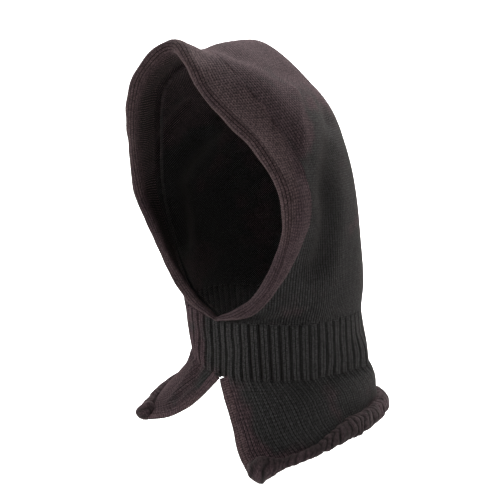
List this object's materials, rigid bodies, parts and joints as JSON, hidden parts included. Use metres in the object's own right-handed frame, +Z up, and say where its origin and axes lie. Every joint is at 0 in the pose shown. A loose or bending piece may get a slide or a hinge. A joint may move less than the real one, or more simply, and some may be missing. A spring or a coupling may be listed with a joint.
{
  "type": "knitted balaclava",
  "caption": "Knitted balaclava hood with an open face, folded face band, ribbed neck and a short bib split at the front.",
  "frame": {"origin": "middle of the wearer's head at eye level, on the plane of symmetry", "axes": "+Z up, the face looks along -Y, +X is the wearer's left"},
  "size_m": [0.2454, 0.2449, 0.3883],
  "materials": {
    "stocking_stitch": "matt wool knit",
    "rib_knit": "matt wool knit",
    "turned_edge_knit": "matt wool knit",
    "linking_yarn": "matt yarn",
    "label_tape": "woven tape"
  },
  "bodies": {
    "root": {"hood_left": "stocking_stitch", "hood_right": "stocking_stitch", "neck_rib_left": "rib_knit", "neck_rib_right": "rib_knit", "bib_left": "stocking_stitch", "bib_right": "stocking_stitch", "slit_edge_left": "turned_edge_knit", "slit_edge_right": "turned_edge_knit", "rolled_hem_left": "turned_edge_knit", "rolled_hem_right": "turned_edge_knit", "face_band": "turned_edge_knit", "face_band_seam": "linking_yarn", "centre_seam": "linking_yarn", "front_neck_seam": "linking_yarn", "slit_bar_tack": "linking_yarn", "care_label": "label_tape"}
  },
  "joints": []
}
